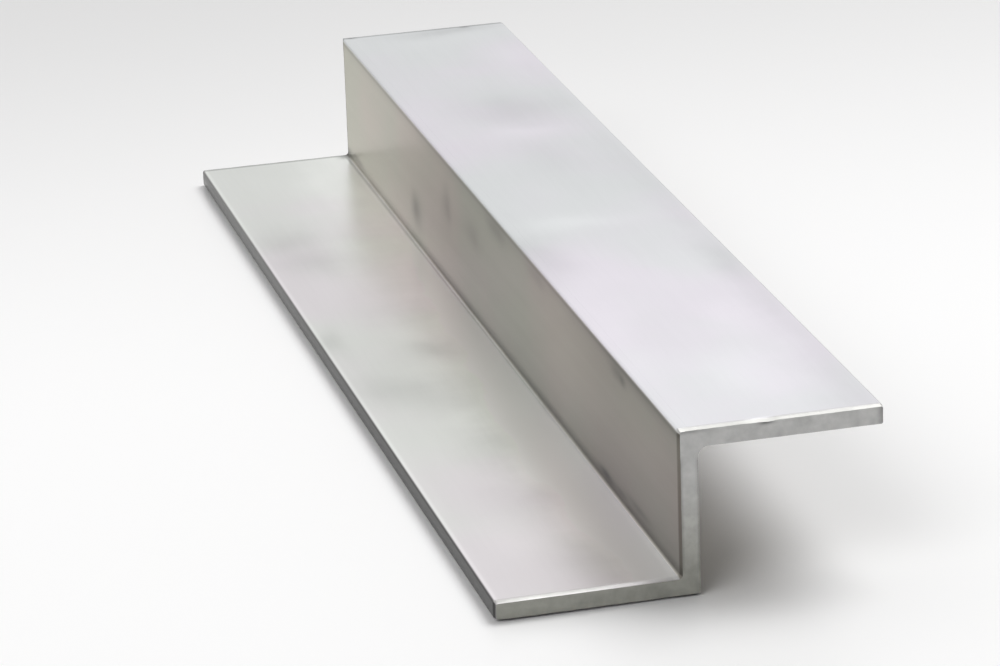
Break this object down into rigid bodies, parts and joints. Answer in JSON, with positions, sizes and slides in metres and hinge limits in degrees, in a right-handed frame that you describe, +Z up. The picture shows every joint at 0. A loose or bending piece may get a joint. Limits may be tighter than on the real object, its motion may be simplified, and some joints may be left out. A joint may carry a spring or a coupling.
{
  "type": "steel z angle",
  "caption": "Short length of steel Z-section angle: an upright web with a flange turned out at its foot and another turned out the other way at its head.",
  "frame": {"origin": "on the floor, under the middle of the bounding box", "axes": "+Z up, from the bottom flange to the top flange; Y along the bar; the top flange points to +X and the bottom flange to -X"},
  "size_m": [0.057, 0.21, 0.025],
  "materials": {
    "bright_steel": "clean mill finish, satin to semi-gloss, faintly mottled and handled"
  },
  "bodies": {
    "root": {"z_bar": "bright_steel"}
  },
  "joints": []
}
